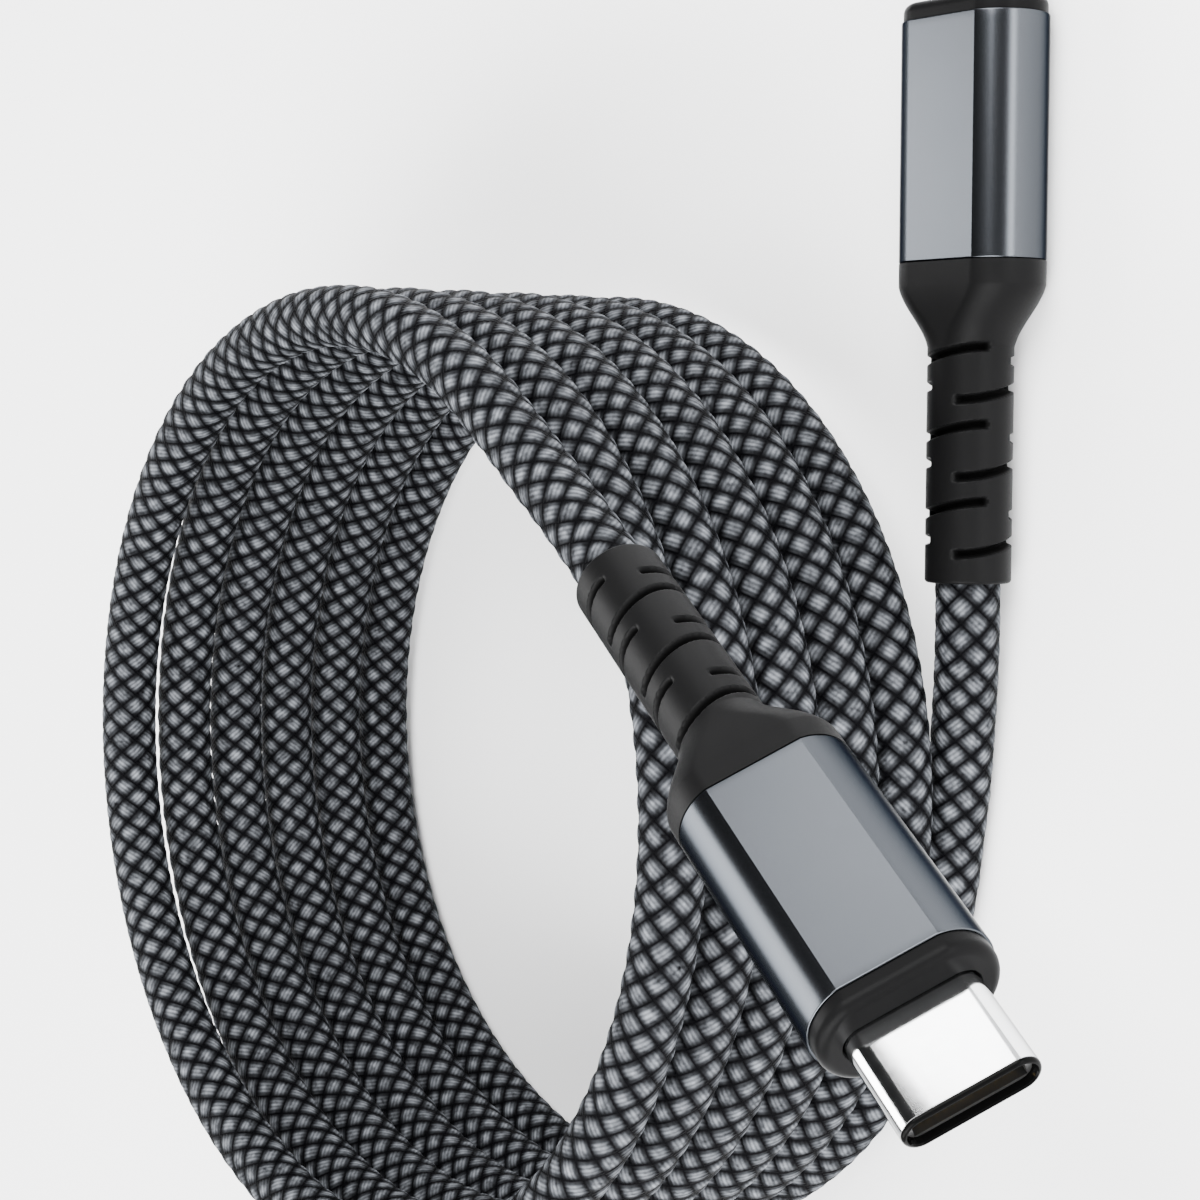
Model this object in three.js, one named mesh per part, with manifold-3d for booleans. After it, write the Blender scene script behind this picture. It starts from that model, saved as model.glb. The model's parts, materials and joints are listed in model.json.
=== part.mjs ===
// A coiled, braided USB-C to USB-C cable with its two plugs, laid down on a table.
// Millimetres, +Z up. The coil lies flat, and plug B lies along +X on the table.
import * as THREE from 'three';
import { mergeVertices } from 'three/addons/utils/BufferGeometryUtils.js';
import Module from 'manifold-3d';

const wasm = await Module();
wasm.setup();

// ---------- driving dimensions ----------
const CORD_R = 2.35;            // outside radius of the braided cable
const COIL_R = 36;              // coil radius to the middle of the cable
const COIL_HEIGHT = 33.9;       // stacked turns, table to top
const COIL_CORNER = 1.4;        // rounding of the coil's outer shape
const GAP = 0.3;                // gap between pieces that touch
const FIT = 0.15;               // gap between pieces that slot together

const BOOT_L = 16.6;            // ribbed strain relief
const FLARE_L = 6.0;            // its shoulder, up to the metal housing
const SHELL_L = 16.9;           // metal housing
const BEZEL_OUT = 1.3;          // black nose proud of the housing
const TIP_OUT = 6.65;           // USB-C tip proud of the nose
const BOOT_R = 3.05;
const X_SHELL = BOOT_L + FLARE_L;
const X_NOSE = X_SHELL + SHELL_L;
const X_TIP = X_NOSE + BEZEL_OUT;
const X_END = X_TIP + TIP_OUT;

// cross-sections: a flat of that width, then elliptical sides (side wide, half high)
const ROUND_FLAT = 0.02;
const SHELL_SECTION = { flat: 6.15, side: 2.62, half: 3.45 };
const TIP_SECTION = { flat: 5.85, side: 1.2, half: 1.2 };   // 8.25 x 2.4 full-round
const SHELL_WALL = 0.55;
const TIP_WALL = 0.3;

const SLOT_PITCH = 2.7;         // flex slots of the boot
const SLOT_W = 0.5;
const SLOT_ROWS = 6;
const SLOT_HALF_ANGLE = 66 * Math.PI / 180;

const CONTACTS = 12;            // contacts in each row
const CONTACT_PITCH = 0.5;

// the two ends: where the boot starts, which way the plug points, its roll and its lead's route
const ENDS = {
  a: {
    start: [15.7, -36.4, 33.4], azimuth: -125, rise: 11, roll: -50,
    lead: [[25.9, -24.1, 32.4], [23.3, -27.2, 32.55], [20.8, -30.3, 32.75], [18.2, -33.4, 33.0]],
  },
  b: {
    start: [14.7, -39.1, 3.5], azimuth: -3, rise: 0, roll: 0,
    lead: [[-7.5, -35.2, 2.4], [-3.6, -36.0, 2.4], [0.3, -36.8, 2.45], [4.2, -37.5, 2.65],
      [8.0, -38.2, 2.95], [11.6, -38.8, 3.3]],
  },
};

// ---------- materials ----------
const material = (color, roughness, metalness = 0) =>
  new THREE.MeshStandardMaterial({ color, roughness, metalness, flatShading: true });
const MATERIALS = {
  braid: () => material(0x6a7076, 0.85),
  rubber: () => material(0x262626, 0.6),
  aluminium: () => material(0x6d747c, 0.35, 0.9),
  black_plastic: () => material(0x1b1c1e, 0.45),
  steel: () => material(0xd5d8da, 0.18, 1),
  insulator: () => material(0x111111, 0.5),
  gold: () => material(0xd9b45a, 0.25, 1),
  board: () => material(0x1d5a36, 0.5),
  chip: () => material(0x18181a, 0.4),
  ceramic: () => material(0x9a7b55, 0.5),
  tin: () => material(0xa9adb0, 0.3, 1),
  jacket: () => material(0x2c2c2e, 0.6),
  wire: (color) => material(color, 0.45),
};

// ---------- solids ----------
const toManifold = (geometry) => {
  const bare = geometry.clone();
  bare.deleteAttribute('normal');
  bare.deleteAttribute('uv');
  const welded = mergeVertices(bare, 1e-5);
  const mesh = new wasm.Mesh({
    numProp: 3,
    vertProperties: new Float32Array(welded.attributes.position.array),
    triVerts: new Uint32Array(welded.index.array),
  });
  mesh.merge();
  return new wasm.Manifold(mesh);
};

const toGeometry = (solid) => {
  const mesh = solid.getMesh();
  const geometry = new THREE.BufferGeometry();
  geometry.setAttribute('position', new THREE.BufferAttribute(mesh.vertProperties.slice(), 3));
  geometry.setIndex(new THREE.BufferAttribute(mesh.triVerts.slice(), 1));
  geometry.computeVertexNormals();
  return geometry;
};

// the outline of a section, counter-clockwise about +X, as [y, z] pairs
const outline = ({ flat, side, half }, steps) => {
  const points = [];
  for (const hand of [1, -1]) {
    for (let i = 0; i <= steps; i += 1) {
      const turn = Math.PI * (i / steps - 0.5);
      points.push([hand * (flat / 2 + side * Math.cos(turn)), hand * half * Math.sin(turn)]);
    }
  }
  return points;
};

// a closed solid through sections along +X, each { x, flat, side, half }
const loft = (sections, steps = 10) => {
  const positions = [];
  const index = [];
  const count = 2 * (steps + 1);
  for (const section of sections) {
    for (const [y, z] of outline(section, steps)) positions.push(section.x, y, z);
  }
  for (let ring = 0; ring < sections.length - 1; ring += 1) {
    for (let j = 0; j < count; j += 1) {
      const a = ring * count + j;
      const b = ring * count + (j + 1) % count;
      index.push(a, b, a + count, b, b + count, a + count);
    }
  }
  for (const [ring, flip] of [[0, true], [sections.length - 1, false]]) {
    const hub = positions.length / 3;
    positions.push(sections[ring].x, 0, 0);
    for (let j = 0; j < count; j += 1) {
      const a = ring * count + j;
      const b = ring * count + (j + 1) % count;
      index.push(hub, flip ? b : a, flip ? a : b);
    }
  }
  const geometry = new THREE.BufferGeometry();
  geometry.setAttribute('position', new THREE.Float32BufferAttribute(positions, 3));
  geometry.setIndex(index);
  return toManifold(geometry);
};

const inset = (section, by) => ({
  flat: section.flat, side: section.side - by, half: section.half - by,
});
const roundSection = (radius) => ({ flat: ROUND_FLAT, side: radius, half: radius });
const prism = (section, from, to, steps) =>
  loft([{ x: from, ...section }, { x: to, ...section }], steps);

// a box given by its lowest and highest corners
const box = (low, high) => {
  const size = high.map((value, i) => value - low[i]);
  const geometry = new THREE.BoxGeometry(...size);
  geometry.translate(...low.map((value, i) => value + size[i] / 2));
  return toManifold(geometry);
};

const circleShape = (radius, sides) => new THREE.Shape(
  Array.from({ length: sides }, (_, i) => new THREE.Vector2(
    radius * Math.cos(2 * Math.PI * i / sides), radius * Math.sin(2 * Math.PI * i / sides))));

const tube = (points, radius, sides, steps) => {
  const path = new THREE.CatmullRomCurve3(points.map((p) => new THREE.Vector3(...p)));
  return toManifold(new THREE.ExtrudeGeometry(
    circleShape(radius, sides), { extrudePath: path, steps, bevelEnabled: false }));
};

// ---------- placing ----------
const object = new THREE.Group();

const addPart = (parent, name, solid, kind) => {
  const mesh = new THREE.Mesh(toGeometry(solid), kind);
  mesh.name = name;
  parent.add(mesh);
};

const plugMatrix = ({ start, azimuth, rise, roll }) => {
  const radians = THREE.MathUtils.degToRad;
  const turn = new THREE.Matrix4().makeRotationZ(radians(azimuth));
  turn.multiply(new THREE.Matrix4().makeRotationY(-radians(rise)));
  turn.multiply(new THREE.Matrix4().makeRotationX(radians(roll)));
  return turn.setPosition(...start);
};

// ---------- strain relief ----------
const slotSector = (x, middle) => {
  const shape = new THREE.Shape();
  shape.absarc(0, 0, BOOT_R + 2, middle - SLOT_HALF_ANGLE, middle + SLOT_HALF_ANGLE, false);
  shape.absarc(0, 0, BOOT_R - 0.6, middle + SLOT_HALF_ANGLE, middle - SLOT_HALF_ANGLE, true);
  const geometry = new THREE.ExtrudeGeometry(
    shape, { depth: SLOT_W, bevelEnabled: false, curveSegments: 8 });
  geometry.applyMatrix4(new THREE.Matrix4().makeBasis(
    new THREE.Vector3(0, 1, 0), new THREE.Vector3(0, 0, 1), new THREE.Vector3(1, 0, 0)));
  geometry.translate(x - SLOT_W / 2, 0, 0);
  return toManifold(geometry);
};

const bootSolid = () => {
  const sections = [{ x: 0, ...roundSection(BOOT_R - 0.25) }, { x: 0.25, ...roundSection(BOOT_R) },
    { x: BOOT_L, ...roundSection(BOOT_R) }];
  const shoulder = 0.7 * FLARE_L;
  const shoulderSteps = 6;
  for (let i = 1; i <= shoulderSteps; i += 1) {
    const t = i / shoulderSteps;
    const ease = t * t * (3 - 2 * t);
    sections.push({
      x: BOOT_L + shoulder * t,
      flat: THREE.MathUtils.lerp(ROUND_FLAT, SHELL_SECTION.flat, ease),
      side: THREE.MathUtils.lerp(BOOT_R, SHELL_SECTION.side, ease),
      half: THREE.MathUtils.lerp(BOOT_R, SHELL_SECTION.half, ease),
    });
  }
  const spigot = inset(SHELL_SECTION, SHELL_WALL + FIT);
  sections.push({ x: X_SHELL - FIT, ...SHELL_SECTION }, { x: X_SHELL - FIT, ...spigot },
    { x: X_SHELL + 1.6, ...spigot });
  let solid = loft(sections, 12);
  solid = solid.subtract(prism(roundSection(2.1), -1, X_SHELL, 8));
  solid = solid.subtract(prism(roundSection(2.75), X_SHELL - 3.6, X_SHELL + 3, 8));
  for (let row = 0; row < SLOT_ROWS; row += 1) {
    const side = row % 2 ? Math.PI / 2 : 0;
    for (const middle of [side, side + Math.PI]) {
      solid = solid.subtract(slotSector(2.6 + row * SLOT_PITCH, middle));
    }
  }
  return solid;
};

// ---------- housing and tip ----------
const shellSolid = () => {
  const chamfer = inset(SHELL_SECTION, 0.2);
  const outer = loft([{ x: X_SHELL, ...chamfer }, { x: X_SHELL + 0.2, ...SHELL_SECTION },
    { x: X_NOSE - 0.2, ...SHELL_SECTION }, { x: X_NOSE, ...chamfer }], 14);
  return outer.subtract(prism(inset(SHELL_SECTION, SHELL_WALL), X_SHELL - 1, X_NOSE + 1, 14));
};

const bezelSolid = () => {
  const plug = inset(SHELL_SECTION, SHELL_WALL + FIT);
  const sections = [{ x: X_NOSE - 2.6, ...plug }, { x: X_NOSE + FIT, ...plug },
    { x: X_NOSE + FIT, ...inset(SHELL_SECTION, 0.2) }];
  const rounding = 0.7;
  const straight = X_TIP - rounding;
  for (let i = 0; i <= 3; i += 1) {
    const turn = i * Math.PI / 6;
    sections.push({
      x: straight + rounding * Math.sin(turn),
      ...inset(SHELL_SECTION, 0.2 + rounding * (1 - Math.cos(turn))),
    });
  }
  return loft(sections, 12).subtract(
    prism(inset(TIP_SECTION, -0.1), X_NOSE - 4, X_TIP + 1, 8));
};

const tipSolid = () => {
  const outer = loft([{ x: X_SHELL + 11.9, ...TIP_SECTION }, { x: X_END - 0.15, ...TIP_SECTION },
    { x: X_END, ...inset(TIP_SECTION, 0.12) }], 8);
  return outer.subtract(prism(inset(TIP_SECTION, TIP_WALL), X_SHELL + 10, X_END + 1, 8));
};

const X_INSULATOR = X_SHELL + 12.9;
const MOUTH_BACK = X_TIP - 2.2;
const insulatorSolid = () => {
  let solid = prism(inset(TIP_SECTION, TIP_WALL + 0.08), X_INSULATOR, X_END - 0.5, 8);
  solid = solid.subtract(box([MOUTH_BACK, -3.35, -0.62], [X_END + 1, 3.35, 0.62]));
  for (const [low, high] of [[0.33, 0.62], [-0.15, 0.15], [-0.62, -0.33]]) {
    solid = solid.subtract(box([X_INSULATOR - 1, -3.3, low], [MOUTH_BACK + 0.1, 3.3, high]));
  }
  return solid;
};

// one row of contacts, joined at the back as one comb
const contactSolid = (hand) => {
  const low = hand > 0 ? 0.4 : -0.55;
  const high = low + 0.15;
  const half = (CONTACTS - 1) * CONTACT_PITCH / 2;
  let solid = box([X_SHELL + 11, -half - 0.125, low], [MOUTH_BACK, half + 0.125, high]);
  for (let i = 0; i < CONTACTS; i += 1) {
    const y = i * CONTACT_PITCH - half;
    solid = solid.add(box([MOUTH_BACK - 0.1, y - 0.125, low], [X_END - 1.1, y + 0.125, high]));
  }
  return solid;
};

const latchSolid = () => {
  let solid = box([X_INSULATOR + 0.1, -3.2, -0.1], [MOUTH_BACK + 1, 3.2, 0.1]);
  for (const hand of [1, -1]) {
    const edges = [hand * 2.95, hand * 3.2].sort((p, q) => p - q);
    solid = solid.add(box([MOUTH_BACK, edges[0], -0.1], [X_END - 1.6, edges[1], 0.1]));
  }
  return solid;
};

// ---------- inside the housing ----------
const X_BOARD = X_SHELL + 2.9;
const BOARD_HALF = 0.3;
const canSolid = () => box([X_BOARD - 0.5, -4.2, -2], [X_SHELL + 11.6, 4.2, 2])
  .subtract(box([X_BOARD - 2, -4, -1.8], [X_SHELL + 13, 4, 1.8]));

const WIRES = [
  ['wire_vbus', 0.35, 0xb02a24], ['wire_ground', 0.35, 0x1a1a1a], ['wire_cc', 0.22, 0x2f5fae],
  ['wire_data_plus', 0.22, 0x2f8a45], ['wire_data_minus', 0.22, 0xd8d8d4],
];

const wireSolid = (order, radius) => {
  const turn = 2 * Math.PI * order / WIRES.length + 0.3;
  const from = [X_SHELL + 0.4, 1.1 * Math.cos(turn), 1.1 * Math.sin(turn)];
  const height = Math.sign(from[2]) * (BOARD_HALF + 0.1 + radius);
  const to = [X_BOARD + 1.5, 2.2 * Math.cos(turn), height];
  const middle = [X_SHELL + 2, 0.6 * from[1] + 0.4 * to[1], 0.6 * from[2] + 0.4 * to[2]];
  return tube([from, middle, [X_BOARD + 0.3, to[1], height], to], radius, 8, 10);
};

const buildPlug = (end) => {
  const plug = new THREE.Group();
  plug.applyMatrix4(plugMatrix(ENDS[end]));
  object.add(plug);
  const add = (name, solid, kind) => addPart(plug, `plug_${end}_${name}`, solid, kind);
  add('strain_relief_boot', bootSolid(), MATERIALS.rubber());
  add('outer_shell', shellSolid(), MATERIALS.aluminium());
  add('nose_bezel', bezelSolid(), MATERIALS.black_plastic());
  add('tip_shell', tipSolid(), MATERIALS.steel());
  add('tip_insulator', insulatorSolid(), MATERIALS.insulator());
  add('contacts_upper', contactSolid(1), MATERIALS.gold());
  add('contacts_lower', contactSolid(-1), MATERIALS.gold());
  add('latch_plate', latchSolid(), MATERIALS.steel());
  add('shield_can', canSolid(), MATERIALS.tin());
  add('paddle_board', box([X_BOARD, -3.4, -BOARD_HALF], [X_SHELL + 12.4, 3.4, BOARD_HALF]),
    MATERIALS.board());
  add('bypass_capacitor', box([X_BOARD + 4, 1.8, 0.4], [X_BOARD + 5, 2.4, 0.9]),
    MATERIALS.ceramic());
  if (end === 'a') {
    add('marker_chip', box([X_BOARD + 3.6, -1.4, 0.4], [X_BOARD + 6.4, 1.4, 1.1]),
      MATERIALS.chip());
  }
  add('crimp_ferrule', prism(roundSection(2.6), X_SHELL - 3.2, X_SHELL - 0.2, 10)
    .subtract(prism(roundSection(2.05), X_SHELL - 4, X_SHELL + 1, 10)), MATERIALS.tin());
  add('inner_jacket', prism(roundSection(1.9), GAP, X_SHELL, 8), MATERIALS.jacket());
  WIRES.forEach(([name, radius, color], order) => {
    add(name, wireSolid(order, radius), MATERIALS.wire(color));
  });
};

// ---------- the cable ----------
const leadPoints = (end, gap) => {
  const { start, azimuth, rise, lead } = ENDS[end];
  const matrix = plugMatrix({ start, azimuth, rise, roll: 0 });
  const last = new THREE.Vector3(-gap, 0, 0).applyMatrix4(matrix);
  return [...lead, last.toArray()];
};

const leadSolid = (end) => tube(leadPoints(end, GAP), CORD_R, 10, 4);

// the lead and the boot, grown by the gap, with the lead run on at both ends
const leadClearance = (end) => {
  const boot = prism(roundSection(BOOT_R + GAP), -1, BOOT_L, 10);
  const run = tube(leadPoints(end, -1), CORD_R + GAP + 0.1, 16, 8);
  const first = new THREE.Vector3(...ENDS[end].lead[0]);
  const ball = new THREE.SphereGeometry(CORD_R + GAP + 0.2, 16, 10);
  ball.translate(...first.toArray());
  return run.add(toManifold(ball)).add(boot.transform(plugMatrix(ENDS[end]).elements));
};

const coilSolid = () => {
  const inner = COIL_R - CORD_R + COIL_CORNER;
  const outer = COIL_R + CORD_R - COIL_CORNER;
  const top = COIL_HEIGHT - COIL_CORNER;
  const corners = [[outer, COIL_CORNER, -90], [outer, top, 0], [inner, top, 90],
    [inner, COIL_CORNER, 180]];
  const profile = [];
  for (const [x, z, from] of corners) {
    for (let i = 0; i <= 3; i += 1) {
      const turn = THREE.MathUtils.degToRad(from + 30 * i);
      profile.push(new THREE.Vector2(
        x + COIL_CORNER * Math.cos(turn), z + COIL_CORNER * Math.sin(turn)));
    }
  }
  profile.push(profile[0].clone());
  const geometry = new THREE.LatheGeometry(profile, 72);
  geometry.rotateX(Math.PI / 2);
  return toManifold(geometry);
};

// the coil without the slivers that the leads' clearance leaves beside it
const coil = coilSolid().subtract(leadClearance('a')).subtract(leadClearance('b')).decompose()
  .reduce((largest, piece) => (piece.volume() > largest.volume() ? piece : largest));
addPart(object, 'cord_coil', coil, MATERIALS.braid());
for (const end of ['a', 'b']) {
  addPart(object, `cord_lead_${end}`, leadSolid(end), MATERIALS.braid());
  buildPlug(end);
}

// the origin is under the middle of the whole object, on the table
object.updateMatrixWorld(true);
const bounds = new THREE.Box3().setFromObject(object, true);
const middle = bounds.getCenter(new THREE.Vector3());
object.position.set(-middle.x, -middle.y, -bounds.min.z);

export default object;
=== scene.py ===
"""A coiled, braided USB-C cable with its two plugs, in metres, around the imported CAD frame."""

import json
import math

import bpy
import numpy as np
from mathutils import Matrix, Vector


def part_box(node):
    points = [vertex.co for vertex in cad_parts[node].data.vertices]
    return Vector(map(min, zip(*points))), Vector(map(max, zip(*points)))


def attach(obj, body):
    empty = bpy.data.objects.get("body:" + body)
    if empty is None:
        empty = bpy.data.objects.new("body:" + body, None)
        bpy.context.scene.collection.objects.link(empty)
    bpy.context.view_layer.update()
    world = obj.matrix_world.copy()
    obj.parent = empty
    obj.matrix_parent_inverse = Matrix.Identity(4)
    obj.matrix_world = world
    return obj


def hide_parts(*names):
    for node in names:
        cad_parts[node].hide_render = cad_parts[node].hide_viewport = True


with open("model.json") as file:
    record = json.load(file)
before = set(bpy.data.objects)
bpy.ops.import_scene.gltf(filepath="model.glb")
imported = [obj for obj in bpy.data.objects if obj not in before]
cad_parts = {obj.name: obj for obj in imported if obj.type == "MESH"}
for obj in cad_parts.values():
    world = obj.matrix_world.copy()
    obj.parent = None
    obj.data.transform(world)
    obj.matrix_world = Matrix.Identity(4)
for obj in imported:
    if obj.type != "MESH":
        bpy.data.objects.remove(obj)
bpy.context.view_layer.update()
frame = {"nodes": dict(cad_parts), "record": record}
MM = 0.001

# ---------- sizes, as in the CAD, in millimetres ----------
CORD_R = 2.35
COIL_R = 36.0
PITCH = 5.2                 # height from one turn to the next
LEAN = math.radians(1.78)   # the coil leans until its lowest turn lies on the table
COIL_FROM, COIL_TO = 46.0, 2148.0   # degrees along the coil, from lead A to lead B
LAST_TURN = 2160.0          # degrees at which the coil would touch the table
TOP_LIFT = 0.22             # the top turn stands this much further off the one below
LIFT_FULL, LIFT_FADES, LIFT_ENDS = 120.0, 260.0, 400.0   # degrees along the coil
ROUTE_STEP = 6.0            # degrees between the coil's points on the route
COIL_SHORT = 4.0            # degrees of the coil, at least, that are left to lead A's curve
CORD_IN_BOOT = 1.6          # how far the cable runs inside each boot

BOOT_L, FLARE_L, SHELL_L, BEZEL_OUT, TIP_OUT = 16.6, 6.0, 16.9, 1.3, 6.65
BOOT_R = 3.05
X_SHELL = BOOT_L + FLARE_L
X_NOSE = X_SHELL + SHELL_L
X_TIP = X_NOSE + BEZEL_OUT
X_END = X_TIP + TIP_OUT
X_TIP_BACK = X_SHELL + 11.9   # the tip starts here, inside the housing
X_BEZEL_BACK = X_NOSE - 2.4
# flat, width of each elliptical side, half height, degrees of the crease beside the flat
SHELL_SECTION = (6.15, 2.62, 3.45, 12.0)
TIP_SECTION = (5.85, 1.2, 1.2, 0.0)
SHELL_WALL = 0.55

ENDS = {
    "a": {
        "start": (15.7, -36.4, 33.4), "azimuth": -125, "rise": 11, "roll": -50,
        "lead": [(25.9, -24.1, 32.4), (23.3, -27.2, 32.55), (20.8, -30.3, 32.75), (18.2, -33.4, 33.0)],
    },
    "b": {
        "start": (14.7, -39.1, 3.5), "azimuth": -3, "rise": 0, "roll": 0,
        "lead": [(-7.5, -35.2, 2.4), (-3.6, -36.0, 2.4), (0.3, -36.8, 2.45), (4.2, -37.5, 2.65),
                 (8.0, -38.2, 2.95), (11.6, -38.8, 3.3)],
    },
}

# the coil's axis is the middle of its CAD ring
coil_low, coil_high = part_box("cord_coil")
AXIS = Vector(((coil_low.x + coil_high.x) / 2, (coil_low.y + coil_high.y) / 2, 0)) / MM


def plug_matrix(end):
    """Plug coordinates (mm, +X from the cable to the tip) to the frame's millimetres."""
    e = ENDS[end]
    turn = Matrix.Rotation(math.radians(e["azimuth"]), 4, "Z")
    turn = turn @ Matrix.Rotation(-math.radians(e["rise"]), 4, "Y")
    turn = turn @ Matrix.Rotation(math.radians(e["roll"]), 4, "X")
    return Matrix.Translation(Vector(e["start"]) + AXIS) @ turn


# ---------- camera ----------
CAMERA_PLACE = (18.20, -165.01, 139.88)   # mm from the coil's axis at table height
CAMERA_TURN, CAMERA_DOWN, CAMERA_ROLL = 1.61, 39.18, -92.65   # degrees
CAMERA_LENS, CAMERA_FILM = 77.64, 36.0    # mm


def add_camera():
    """A view from the front, down onto the table, with the camera on its side."""
    data = bpy.data.cameras.new("camera")
    camera = bpy.data.objects.new("camera", data)
    bpy.context.scene.collection.objects.link(camera)
    data.sensor_width = CAMERA_FILM
    data.lens = CAMERA_LENS
    data.clip_start = 0.01
    turn = Matrix.Rotation(math.radians(CAMERA_TURN), 4, "Z")
    tilt = Matrix.Rotation(math.radians(90 - CAMERA_DOWN), 4, "X")
    roll = Matrix.Rotation(math.radians(CAMERA_ROLL), 4, "Z")
    place = Vector(CAMERA_PLACE) + AXIS
    camera.matrix_world = Matrix.Translation(place * MM) @ turn @ tilt @ roll
    bpy.context.scene.camera = camera


add_camera()


# ---------- material building ----------
class Graph:
    """A new node material with one Principled shader, and short calls to wire it."""

    def __init__(self, name, **sockets):
        self.material = bpy.data.materials.new(name)
        self.material.use_nodes = True
        self.tree = self.material.node_tree
        self.shader = self.tree.nodes["Principled BSDF"]
        for key, value in sockets.items():
            self.set(key.replace("_", " "), value)

    def set(self, socket, value):
        target = self.shader.inputs[socket]
        if isinstance(value, bpy.types.NodeSocket):
            self.tree.links.new(value, target)
        elif isinstance(value, (tuple, list)):
            target.default_value = (*value, 1.0)
        else:
            target.default_value = value

    def feed(self, node, number, value):
        if isinstance(value, bpy.types.NodeSocket):
            self.tree.links.new(value, node.inputs[number])
        elif value is not None:
            node.inputs[number].default_value = value

    def math(self, operation, a, b=None, c=None):
        node = self.tree.nodes.new("ShaderNodeMath")
        node.operation = operation
        for number, value in enumerate((a, b, c)):
            self.feed(node, number, value)
        return node.outputs[0]

    def step(self, value, low, high):
        """0 below low and 1 above high, smoothly."""
        node = self.tree.nodes.new("ShaderNodeMapRange")
        node.interpolation_type = "SMOOTHSTEP"
        self.feed(node, 0, value)
        node.inputs["From Min"].default_value = low
        node.inputs["From Max"].default_value = high
        return node.outputs[0]

    def between(self, value, low, high):
        """low where the value is 0 and high where it is 1."""
        node = self.tree.nodes.new("ShaderNodeMapRange")
        self.feed(node, 0, value)
        node.inputs["To Min"].default_value = low
        node.inputs["To Max"].default_value = high
        return node.outputs[0]

    def mix(self, factor, a, b):
        """Colour a where the factor is 0 and b where it is 1."""
        node = self.tree.nodes.new("ShaderNodeMix")
        node.data_type = "RGBA"
        self.feed(node, 0, factor)
        for number, value in ((6, a), (7, b)):
            self.feed(node, number, (*value, 1.0) if isinstance(value, tuple) else value)
        return node.outputs[2]

    def pick(self, factor, a, b):
        """Number a where the factor is 0 and b where it is 1."""
        node = self.tree.nodes.new("ShaderNodeMix")
        self.feed(node, 0, factor)
        self.feed(node, 2, a)
        self.feed(node, 3, b)
        return node.outputs[0]

    def noise(self, scale, detail=3.0):
        node = self.tree.nodes.new("ShaderNodeTexNoise")
        node.inputs["Scale"].default_value = scale
        node.inputs["Detail"].default_value = detail
        place = self.tree.nodes.new("ShaderNodeTexCoord").outputs["Object"]
        self.tree.links.new(place, node.inputs["Vector"])
        return node.outputs[0]

    def attribute(self, name, output="Fac"):
        node = self.tree.nodes.new("ShaderNodeAttribute")
        node.attribute_name = name
        return node.outputs[output]

    def bump(self, height, distance, strength):
        node = self.tree.nodes.new("ShaderNodeBump")
        node.inputs["Strength"].default_value = strength
        node.inputs["Distance"].default_value = distance
        self.tree.links.new(height, node.inputs["Height"])
        self.set("Normal", node.outputs[0])


# BRAID_BLACK is painted shade at the yarns' edges and in the gaps between them, and dark patches where
# the noise is low; BRAID_GREY is the yarns' own grey
BRAID_BLACK = (0.0005, 0.0005, 0.0008)
BRAID_GREY = (0.150, 0.159, 0.175)
FILAMENTS = 4.6             # pairs of light and dark stripes across a yarn, painted highlights along the filaments


def braid_material():
    """Grey yarns over and under each other with fine filaments, in painted shade that turns black at the
    yarns' edges and between them, and with painted highlights along the filaments.
    """
    g = Graph("braid", Roughness=0.6, Specular_IOR_Level=0.02)
    split = g.tree.nodes.new("ShaderNodeSeparateXYZ")
    g.feed(split, 0, g.attribute("weave", "Vector"))
    around, along = split.outputs[0], split.outputs[1]
    p = g.math("ADD", around, along)
    q = g.math("SUBTRACT", around, along)
    cell_p, cell_q = g.math("FLOOR", p), g.math("FLOOR", q)
    odd = g.math("FLOORED_MODULO", g.math("ADD", cell_p, cell_q), 2.0)
    in_p = g.math("SUBTRACT", g.math("SUBTRACT", p, cell_p), 0.5)
    in_q = g.math("SUBTRACT", g.math("SUBTRACT", q, cell_q), 0.5)
    across = g.pick(odd, in_p, in_q)
    run = g.pick(odd, in_q, in_p)
    side = g.math("ABSOLUTE", across)
    end = g.math("ABSOLUTE", run)
    # painted shade: each yarn darkens from its middle to black at its edges and ends, and the gaps
    # between yarns stay black; the same shape also raises the bump
    body = g.math("MULTIPLY", g.step(side, 0.5, 0.04), g.step(end, 0.52, 0.06))
    strand = g.math("COSINE", g.math("MULTIPLY", across, 2 * math.pi * FILAMENTS))
    # painted highlights: light stripes along the filaments, half as bright between them
    painted_filament_highlights = g.between(g.math("MULTIPLY_ADD", strand, 0.5, 0.5), 0.5, 1.0)
    patch = g.between(g.noise(1500.0, 2.0), -0.4, 1.7)
    tone_and_painted_light = g.math("MULTIPLY", g.math("MULTIPLY", painted_filament_highlights, patch), body)
    g.set("Base Color", g.mix(tone_and_painted_light, BRAID_BLACK, BRAID_GREY))
    height = g.math("ADD", body, g.math("MULTIPLY", strand, 0.16))
    g.bump(height, 0.00016, 0.9)
    return g.material


# ---------- the cable ----------
def smoothstep(low, high, value):
    """0 at low and 1 at high, which may be the smaller of the two."""
    t = np.clip((value - low) / (high - low), 0, 1)
    return t * t * (3 - 2 * t)


def coil_point(degrees):
    """A point of the coil's middle line, in mm from the coil's axis at table height."""
    turn = math.radians(degrees)
    rise = smoothstep(COIL_FROM, LIFT_FULL, degrees)
    lift = rise * smoothstep(LIFT_ENDS, LIFT_FADES, degrees)
    height = PITCH * (LAST_TURN - degrees) / 360 + TOP_LIFT * lift
    out = COIL_R * (1 - math.cos(turn))
    y = out * math.cos(LEAN) + height * math.sin(LEAN) - COIL_R
    z = height * math.cos(LEAN) - out * math.sin(LEAN) + CORD_R
    return (COIL_R * math.sin(turn), y, z)


def boot_entry(end, depth):
    """The point at a depth inside a boot's entry, in mm from the coil's axis at table height."""
    return tuple(plug_matrix(end) @ Vector((depth, 0, 0)) - AXIS)


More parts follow.
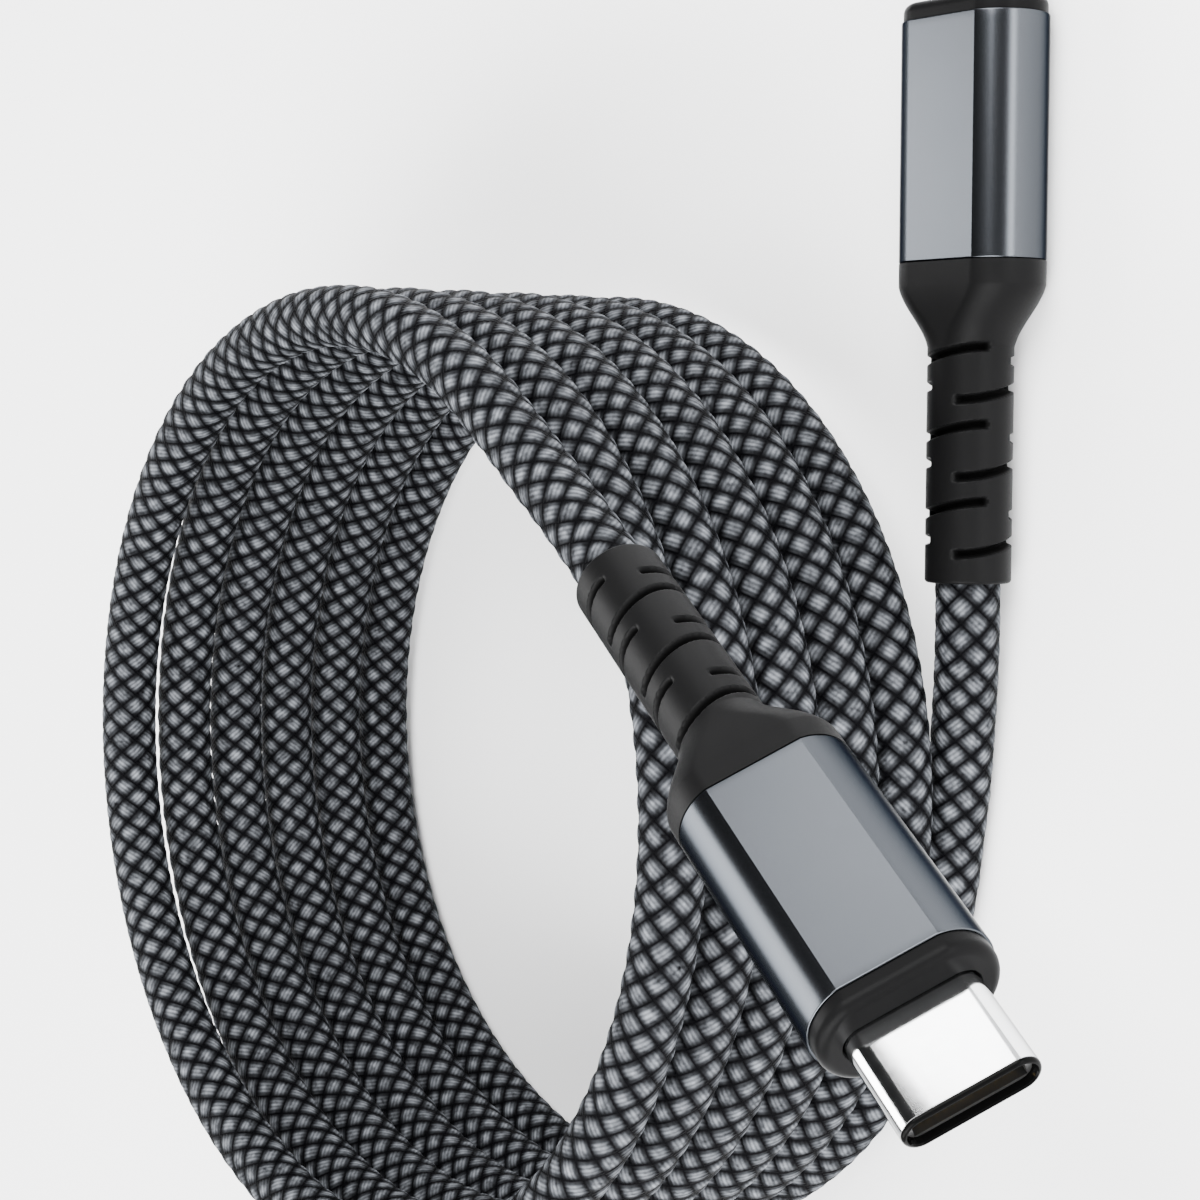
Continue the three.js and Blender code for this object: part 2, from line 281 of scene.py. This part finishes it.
def route():
    """The cable's middle line from plug B's boot to plug A's, in mm."""
    knots = [boot_entry("b", CORD_IN_BOOT), boot_entry("b", 0.0)]
    knots += reversed(ENDS["b"]["lead"])
    turns = np.arange(COIL_TO - ROUTE_STEP, COIL_FROM + COIL_SHORT, -ROUTE_STEP)
    knots += [coil_point(d) for d in turns]
    knots += ENDS["a"]["lead"]
    knots += [boot_entry("a", 0.0), boot_entry("a", CORD_IN_BOOT)]
    return np.array(knots) + np.array(AXIS)


KNOT_STEPS = 24             # points from one knot to the next, before they are spaced evenly


def smooth_line(knots, step):
    """Points every step mm along a Catmull-Rom curve through the knots."""
    padded = np.vstack([2 * knots[0] - knots[1], knots, 2 * knots[-1] - knots[-2]])
    a, b, c, d = padded[:-3], padded[1:-2], padded[2:-1], padded[3:]
    t = np.linspace(0, 1, KNOT_STEPS, endpoint=False)[:, None, None]
    fine = 0.5 * (2 * b + (c - a) * t + (2 * a - 5 * b + 4 * c - d) * t ** 2
                  + (3 * b - a - 3 * c + d) * t ** 3)
    fine = np.vstack([fine.transpose(1, 0, 2).reshape(-1, 3), knots[-1:]])
    far = np.concatenate([[0], np.cumsum(np.linalg.norm(np.diff(fine, axis=0), axis=1))])
    count = int(round(far[-1] / step)) + 1
    even = np.linspace(0, far[-1], count)
    return np.stack([np.interp(even, far, fine[:, k]) for k in range(3)], 1), far[-1]


def carried_frames(line):
    """Two cross directions at each point of a line, carried along it without twist."""
    tangents = np.gradient(line, axis=0)
    tangents /= np.linalg.norm(tangents, axis=1)[:, None]
    first = np.cross(tangents[0], (0.0, 0.0, 1.0))
    sides = np.empty_like(line)
    sides[0] = first / np.linalg.norm(first)
    for i in range(1, len(line)):
        flat = sides[i - 1] - sides[i - 1].dot(tangents[i]) * tangents[i]
        sides[i] = flat / np.linalg.norm(flat)
    return sides, np.cross(tangents, sides)


CELLS_AROUND = 6            # braid cells around the cable
CELL_LENGTH = 2.12          # mm, before the braid repeats
COLUMNS = 42         # points around the cable
RING_STEP = 1 / 3   # mm between the cable's rings of points
BRAID_RELIEF = 0.14         # mm, from the bottom of a gap to the top of a yarn
YARN_SQUARENESS = 2.4       # 2 for a yarn with a round back, more for a flatter one
ARCH_SQUARENESS = 0.6       # 1 for a yarn that rises and falls as a cosine, less for a flatter one


def braid_height(around, along):
    """0 between yarns to 1 on top of one."""
    p, q = around + along, around - along
    cell_p, cell_q = np.floor(p), np.floor(q)
    in_p, in_q = p - cell_p - 0.5, q - cell_q - 0.5
    odd = np.mod(cell_p + cell_q, 2) > 0.5
    across = np.where(odd, in_q, in_p)
    run = np.where(odd, in_p, in_q)
    crown = np.clip(1 - (np.abs(across) / 0.5) ** YARN_SQUARENESS, 0, 1)
    arch = np.cos(np.pi * run) ** ARCH_SQUARENESS
    return crown * arch


def mesh_object(name, vertices, faces, material, smooth_angle=None):
    mesh = bpy.data.meshes.new(name)
    mesh.from_pydata([tuple(v) for v in vertices], [], faces)
    mesh.materials.append(material)
    mesh.polygons.foreach_set("use_smooth", [True] * len(mesh.polygons))
    if smooth_angle:
        mesh.set_sharp_from_angle(angle=math.radians(smooth_angle))
    piece = bpy.data.objects.new(name, mesh)
    bpy.context.scene.collection.objects.link(piece)
    return piece


def make_cable():
    """The braided tube, with each face's place in the weave, its middle line and its length."""
    line, length = smooth_line(route(), RING_STEP)
    sides, ups = carried_frames(line)
    rings = len(line)
    around = np.arange(COLUMNS) / COLUMNS * CELLS_AROUND
    along = np.arange(rings) * (length / (rings - 1)) / CELL_LENGTH
    t, s = np.meshgrid(around, along)
    radius = CORD_R - BRAID_RELIEF * (1 - braid_height(t, s))
    turn = t / CELLS_AROUND * 2 * math.pi
    points = (line[:, None] + (radius * np.cos(turn))[..., None] * sides[:, None]
              + (radius * np.sin(turn))[..., None] * ups[:, None])
    faces, corners = [], []
    for ring in range(rings - 1):
        low, high = along[ring], along[ring + 1]
        for j in range(COLUMNS):
            k = (j + 1) % COLUMNS
            start = ring * COLUMNS
            faces.append((start + j, start + k, start + COLUMNS + k, start + COLUMNS + j))
            left, right = around[j], around[j] + CELLS_AROUND / COLUMNS
            corners += [(left, low, 0), (right, low, 0), (right, high, 0), (left, high, 0)]
    for ring, flip in ((0, True), (rings - 1, False)):
        rim = [ring * COLUMNS + j for j in range(COLUMNS)]
        faces.append(tuple(reversed(rim)) if flip else tuple(rim))
        corners += [(0, along[ring], 0)] * COLUMNS
    cable = mesh_object("cable", points.reshape(-1, 3) * MM, faces, braid_material())
    weave = cable.data.attributes.new("weave", "FLOAT_VECTOR", "CORNER")
    weave.data.foreach_set("vector", np.array(corners, np.float32).ravel())
    return cable, line * MM, length * MM


cable, cable_line, cable_length = make_cable()
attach(cable, "root")
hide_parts("cord_coil", "cord_lead_a", "cord_lead_b")


# ---------- materials of the plugs ----------
def rubber_material():
    """Matt black rubber, with painted shade making it blacker down in the flex slots."""
    g = Graph("boot_rubber", Specular_IOR_Level=0.05)
    deep = g.step(g.attribute("shade"), 0.1, 0.6)
    fine = g.noise(5200.0)
    skin = g.mix(g.noise(260.0, 2.0), (0.0019, 0.0019, 0.002), (0.0028, 0.0028, 0.0029))
    # painted shade: near black down in the slots, where they are deep
    g.set("Base Color", g.mix(deep, skin, (0.0003, 0.0003, 0.0003)))
    g.set("Roughness", g.pick(deep, g.between(fine, 0.4, 0.56), 1.0))
    g.bump(fine, 0.00001, 0.4)
    return g.material


def anodised_material():
    g = Graph("shell_aluminium", Metallic=1.0, Specular_Tint=(0.3, 0.3, 0.3))
    fine = g.noise(9000.0, 2.0)
    g.set("Base Color", g.mix(g.noise(120.0), (0.048, 0.052, 0.058), (0.054, 0.058, 0.064)))
    g.set("Roughness", g.between(fine, 0.22, 0.28))
    return g.material


def nose_material():
    g = Graph("nose_plastic", Specular_IOR_Level=0.02)
    fine = g.noise(4000.0, 2.0)
    g.set("Base Color", g.mix(g.noise(200.0), (0.0030, 0.0030, 0.0031), (0.0042, 0.0042, 0.0043)))
    g.set("Roughness", g.between(fine, 0.3, 0.42))
    g.bump(fine, 0.000006, 0.4)
    return g.material


def steel_material():
    """Polished steel, with painted shade making it black round its mouth and inside it."""
    g = Graph("tip_steel", Specular_Tint=(0.3, 0.3, 0.3), Specular_IOR_Level=0.05)
    edge = g.step(g.attribute("shade"), 0.3, 0.9)
    grain = g.noise(1500.0)
    bright = g.mix(g.noise(150.0), (0.80, 0.81, 0.82), (0.86, 0.865, 0.87))
    # painted shade: the lip and the inside of the mouth are black and not metallic, standing in for the
    # darkness the polished steel reflects there
    g.set("Metallic", g.math("SUBTRACT", 1.0, edge))
    g.set("Base Color", g.mix(edge, bright, (0.002, 0.002, 0.002)))
    g.set("Roughness", g.between(grain, 0.07, 0.13))
    return g.material


def simple_material(name, low, high, rough, metallic=0.0):
    """A plain finish between two colours, a little uneven in roughness."""
    g = Graph(name, Metallic=metallic)
    fine = g.noise(900.0)
    g.set("Base Color", g.mix(fine, low, high))
    g.set("Roughness", g.between(fine, rough - 0.06, rough + 0.06))
    g.bump(fine, 0.00001, 0.3)
    return g.material


MATERIALS = {
    "boot_rubber": rubber_material(),
    "shell_aluminium": anodised_material(),
    "nose_plastic": nose_material(),
    "tip_steel": steel_material(),
    "insulator_plastic": simple_material("insulator_plastic", (0.006,) * 3, (0.010,) * 3, 0.4),
    "contact_gold": simple_material("contact_gold", (0.72, 0.5, 0.18), (0.8, 0.58, 0.24), 0.22, 1.0),
    "spring_steel": simple_material("spring_steel", (0.5,) * 3, (0.62,) * 3, 0.28, 1.0),
    "can_tin": simple_material("can_tin", (0.5, 0.5, 0.52), (0.6, 0.6, 0.62), 0.3, 1.0),
    "board_laminate": simple_material("board_laminate", (0.01, 0.1, 0.04), (0.02, 0.16, 0.06), 0.35),
    "capacitor_ceramic": simple_material("capacitor_ceramic", (0.3, 0.19, 0.1), (0.36, 0.24, 0.13), 0.5),
    "chip_black": simple_material("chip_black", (0.01,) * 3, (0.018,) * 3, 0.45),
    "jacket_plastic": simple_material("jacket_plastic", (0.02,) * 3, (0.03,) * 3, 0.5),
    "wire_red": simple_material("wire_red", (0.42, 0.02, 0.015), (0.5, 0.03, 0.02), 0.35),
    "wire_black": simple_material("wire_black", (0.01,) * 3, (0.018,) * 3, 0.35),
    "wire_blue": simple_material("wire_blue", (0.02, 0.08, 0.36), (0.03, 0.1, 0.44), 0.35),
    "wire_green": simple_material("wire_green", (0.02, 0.2, 0.05), (0.03, 0.25, 0.06), 0.35),
    "wire_white": simple_material("wire_white", (0.6, 0.6, 0.56), (0.7, 0.7, 0.66), 0.35),
}

# every CAD node wears the material of its slot
for part in frame["record"]["subparts"]:
    node = frame["nodes"][part["node"]]
    if part["material_slot"] in MATERIALS:
        node.data.materials.clear()
        node.data.materials.append(MATERIALS[part["material_slot"]])


# ---------- plug pieces ----------
def side_ellipse(section):
    """Middle, half width and half height of the ellipse that closes a section's side."""
    flat, side, half, crease = section
    start = math.radians(crease)
    width = side / (1 - math.sin(start))
    return flat / 2 + side - width, width, half / math.cos(start)


def reach(section, turn):
    """How far a section's outline is from its middle in each direction: flat, then ellipse."""
    middle, width, height = side_ellipse(section)
    c, s = np.abs(np.cos(turn)), np.abs(np.sin(turn))
    a = c ** 2 / width ** 2 + s ** 2 / height ** 2
    b = -2 * middle * c / width ** 2
    d = middle ** 2 / width ** 2 - 1
    on_ellipse = (-b + np.sqrt(np.maximum(b ** 2 - 4 * a * d, 0))) / (2 * a)
    on_flat = section[2] / np.maximum(s, 1e-9)
    return np.where(on_flat * c < section[0] / 2, on_flat, on_ellipse)


def section_turns(section, flat_steps, side_steps):
    """Directions around a section, with one on each edge of its flats."""
    corner = math.atan2(section[2], section[0] / 2)
    side = np.linspace(-corner, corner, side_steps, endpoint=False)
    flat = np.linspace(corner, math.pi - corner, flat_steps, endpoint=False)
    return np.concatenate([side, flat, side + math.pi, flat + math.pi])


def sleeve(name, sections, turn, end, material, smooth, relief=None, dark_from=None):
    """A closed piece through sections (x, (flat, side, half, crease)) that joins last to first.

    relief is cut into it, and its shade attribute, which the materials turn into painted shade, is 1 in
    deep relief and on rows past dark_from.
    """
    columns, count = len(turn), len(sections)
    points, shade = np.empty((count, columns, 3)), np.zeros((count, columns))
    for row, (x, section) in enumerate(sections):
        r = reach(section, turn)
        if relief:
            groove = relief(x, turn, r)
            shade[row] = groove / SLOT_DEPTH
            r = r - groove
        points[row] = np.stack([np.full(columns, x), r * np.cos(turn), r * np.sin(turn)], 1)
    if dark_from:
        shade[dark_from:] = 1
    points = points.reshape(-1, 3)
    faces = []
    for i in range(count):
        m = (i + 1) % count
        for j in range(columns):
            k = (j + 1) % columns
            faces.append((i * columns + j, i * columns + k, m * columns + k, m * columns + j))
    matrix = np.array(plug_matrix(end))
    placed = (points @ matrix[:3, :3].T + matrix[:3, 3]) * MM
    piece = mesh_object(name, placed, faces, material, smooth)
    attribute = piece.data.attributes.new("shade", "FLOAT", "POINT")
    attribute.data.foreach_set("value", shade.astype(np.float32).ravel())
    return piece


def inset(section, by):
    """A section drawn in by a distance, or out by a negative one."""
    flat, side, half, crease = section
    return (flat, side - by, half - by, crease)


def blend_sections(a, b, t):
    return tuple(u + (v - u) * t for u, v in zip(a, b))


ROUNDING_STEPS = 12


def rounded(x, section, radius, facing):
    """Sections that round an edge at x whose end face looks along +X (1) or -X (-1)."""
    turns = np.linspace(0, math.pi / 2, ROUNDING_STEPS + 1)
    found = [(x - facing * radius * (1 - math.sin(t)), inset(section, radius * (1 - math.cos(t))))
             for t in turns]
    return found if facing > 0 else found[::-1]


ROUND = (0.0, BOOT_R, BOOT_R, 0.0)
SLOT_PITCH, SLOT_ROWS = 2.7, 6   # mm from one row of slots to the next, and how many rows
SLOT_W, SLOT_DEPTH, SLOT_SLANT = 0.5, 0.7, 0.5   # mm
SLOT_FIRST = 2.6            # mm from the boot's end to its first slots
SLOT_REACH = 2.0            # mm, further than any part of a slot is from its middle
SLOT_EDGE = 0.13            # mm, half the width over which a slot's side slopes
SLOT_HALF_ANGLE = math.radians(68)
BOOT_STEP = 0.07   # mm between the boot's rows of points


def slot_relief(x, turn):
    """The depth of the flex slots, which run in pairs that turn a quarter from row to row."""
    depth = np.zeros_like(turn)
    for row in range(SLOT_ROWS):
        middle = SLOT_FIRST + row * SLOT_PITCH
        if abs(x - middle) > SLOT_REACH:
            continue
        for side in (0.0, math.pi):
            off = turn - side - (math.pi / 2 if row % 2 else 0)
            off = (off + math.pi) % (2 * math.pi) - math.pi
            bend = SLOT_SLANT * np.sin(off * 1.3)
            from_middle = np.abs(x - middle - bend)
            across = smoothstep(SLOT_W / 2 + SLOT_EDGE, SLOT_W / 2 - SLOT_EDGE, from_middle)
            ends = smoothstep(SLOT_HALF_ANGLE + 0.05, SLOT_HALF_ANGLE - 0.1, np.abs(off))
            depth = np.maximum(depth, SLOT_DEPTH * across * ends)
    return depth


BORE_R, ENTRY_R = 2.0, 2.38
X_ENTRY, X_BORE = 1.65, 1.8   # where the entry, wide enough for the cable, gives way to the bore
X_BOOT_EDGE = 0.4           # mm, past the boot's rounded end
COLLAR_L, COLLAR_GAP = 1.6, 0.15
SEAM = 0.04                 # mm between the boot and the housing
SHOULDER_SHARE = 0.72       # of the flare's length, after which it is as wide as the housing
SKIN_R = 2.6                # mm, more than the bore and the entry, so only the outside has slots


def make_boot(end):
    collar = inset(SHELL_SECTION, SHELL_WALL + COLLAR_GAP)
    sections = rounded(0.0, ROUND, 0.25, -1)
    sections += [(x, ROUND) for x in np.arange(X_BOOT_EDGE, BOOT_L, BOOT_STEP)]
    shoulder = SHOULDER_SHARE * FLARE_L
    for t in np.linspace(0, 1, 40):
        ease = 0.6 * t * t * (3 - 2 * t) + 0.4 * t
        sections.append((BOOT_L + shoulder * t, blend_sections(ROUND, SHELL_SECTION, ease)))
    face, collar_end = X_SHELL - SEAM, X_SHELL + COLLAR_L
    sections += [(face, SHELL_SECTION), (face, collar), (collar_end, collar)]
    bore, entry = inset(ROUND, BOOT_R - BORE_R), inset(ROUND, BOOT_R - ENTRY_R)
    sections += [(collar_end, bore), (X_BORE, bore), (X_ENTRY, entry), (0.0, entry)]

    def relief(x, turn, r):
        slotted = X_BOOT_EDGE < x < BOOT_L + 1 and r.min() > SKIN_R
        return slot_relief(x, turn) if slotted else np.zeros_like(turn)

    turn = section_turns(SHELL_SECTION, 36, 44)
    return sleeve(f"boot_{end}", sections, turn, end, MATERIALS["boot_rubber"], 50, relief)


def make_shell(end):
    inner = inset(SHELL_SECTION, SHELL_WALL)
    sections = rounded(X_SHELL, SHELL_SECTION, 0.12, -1)
    sections += [(x, SHELL_SECTION) for x in np.linspace(X_SHELL + 0.6, X_NOSE - 0.6, 8)]
    sections += rounded(X_NOSE, SHELL_SECTION, 0.08, 1)
    sections += [(X_NOSE, inner), (X_SHELL, inner)]
    turn = section_turns(SHELL_SECTION, 12, 70)
    return sleeve(f"shell_{end}", sections, turn, end, MATERIALS["shell_aluminium"], 9)


BEZEL_STEP = 0.02           # mm between the housing's front and the bezel's rim
HOLE_GAP, HOLE_FLARE = 0.06, 0.14   # mm around the tip, inside the hole and at its mouth


def make_bezel(end):
    outer, seat = inset(SHELL_SECTION, 0.14), inset(SHELL_SECTION, SHELL_WALL + 0.1)
    hole, mouth = inset(TIP_SECTION, -HOLE_GAP), inset(TIP_SECTION, -HOLE_FLARE)
    rim = X_NOSE + BEZEL_STEP
    sections = [(X_BEZEL_BACK, seat), (rim, seat), (rim, outer)]
    sections += rounded(X_TIP, outer, 0.7, 1)
    sections += [(X_TIP, mouth), (X_TIP - 0.1, hole), (X_BEZEL_BACK, hole)]
    turn = section_turns(SHELL_SECTION, 24, 60)
    return sleeve(f"bezel_{end}", sections, turn, end, MATERIALS["nose_plastic"], 30)


def make_tip(end):
    mouth = inset(TIP_SECTION, 0.3)
    sections = [(X_TIP_BACK, TIP_SECTION)]
    sections += [(x, TIP_SECTION) for x in np.linspace(X_NOSE, X_END - 0.34, 6)]
    # from the lip inwards the steel gets painted shade
    lip = len(sections)
    sections += rounded(X_END, TIP_SECTION, 0.24, 1)
    sections += [(X_END - 0.1, mouth), (X_TIP_BACK, mouth)]
    turn = section_turns(TIP_SECTION, 12, 60)
    return sleeve(f"tip_{end}", sections, turn, end, MATERIALS["tip_steel"], 30, dark_from=lip)


PLUG_PIECES = [
    (make_boot, "strain_relief_boot", "boot_rubber"), (make_shell, "outer_shell", "shell_aluminium"),
    (make_bezel, "nose_bezel", "nose_plastic"), (make_tip, "tip_shell", "tip_steel"),
]
plug_pieces = {"a": [], "b": []}
for end in ENDS:
    for make, node, slot in PLUG_PIECES:
        piece = make(end)
        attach(piece, "root")
        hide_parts(f"plug_{end}_{node}")
        plug_pieces[end].append(piece)


# ---------- floor and light ----------
FLOOR_R = 0.6
PANEL_DISTANCE = 0.6        # metres from the middle of the cable
AIM = Vector((0, 0, 0.02))


def add_floor():
    bpy.ops.mesh.primitive_circle_add(vertices=160, radius=FLOOR_R, fill_type="NGON")
    floor = bpy.context.object
    floor.name = "floor"
    g = Graph("floor_paint", Roughness=0.85)
    g.set("Base Color", g.mix(g.noise(3.0), (0.86, 0.86, 0.865), (0.88, 0.88, 0.885)))
    floor.data.materials.append(g.material)


def add_panel(name, azimuth, elevation, size, radiance):
    """A rectangular soft light of even brightness, turned to the middle of the cable."""
    data = bpy.data.lights.new(name, "AREA")
    data.shape = "RECTANGLE"
    data.size, data.size_y = size
    data.energy = radiance * math.pi * size[0] * size[1]
    a, e = math.radians(azimuth), math.radians(elevation)
    away = Vector((math.cos(a) * math.cos(e), math.sin(a) * math.cos(e), math.sin(e)))
    light = bpy.data.objects.new(name, data)
    light.location = AIM + away * PANEL_DISTANCE
    light.rotation_euler = away.to_track_quat("Z", "Y").to_euler()
    light.visible_camera = False
    bpy.context.scene.collection.objects.link(light)


def add_world():
    """Pale near the horizon and dark overhead, so that polished faces have something to show."""
    world = bpy.data.worlds.new("studio")
    world.use_nodes = True
    tree = world.node_tree
    place = tree.nodes.new("ShaderNodeTexCoord")
    split = tree.nodes.new("ShaderNodeSeparateXYZ")
    fade = tree.nodes.new("ShaderNodeMapRange")
    fade.interpolation_type = "SMOOTHSTEP"
    for socket, value in (("From Min", 0.08), ("From Max", 0.32), ("To Min", 1.6), ("To Max", 0.02)):
        fade.inputs[socket].default_value = value
    background = tree.nodes["Background"]
    background.inputs[0].default_value = (0.97, 0.98, 1.0, 1.0)
    tree.links.new(place.outputs["Generated"], split.inputs[0])
    tree.links.new(split.outputs[2], fade.inputs[0])
    tree.links.new(fade.outputs[0], background.inputs[1])
    bpy.context.scene.world = world


# degrees around, degrees up, (width, height) in metres, brightness
PANELS = {
    "low_panel": (6, 11, (0.14, 0.25), 12.0),
    "back_panel": (86, 34, (0.34, 0.34), 17.0),
    "front_left_panel": (-142, 42, (0.42, 0.42), 22.0),
    "front_right_panel": (-32, 42, (0.42, 0.42), 22.0),
    "front_low_panel": (-85, 9, (0.5, 0.13), 18.0),
    "left_panel": (175, 42, (0.45, 0.40), 13.0),
}
add_floor()
add_world()
for name, panel in PANELS.items():
    add_panel(name, *panel)
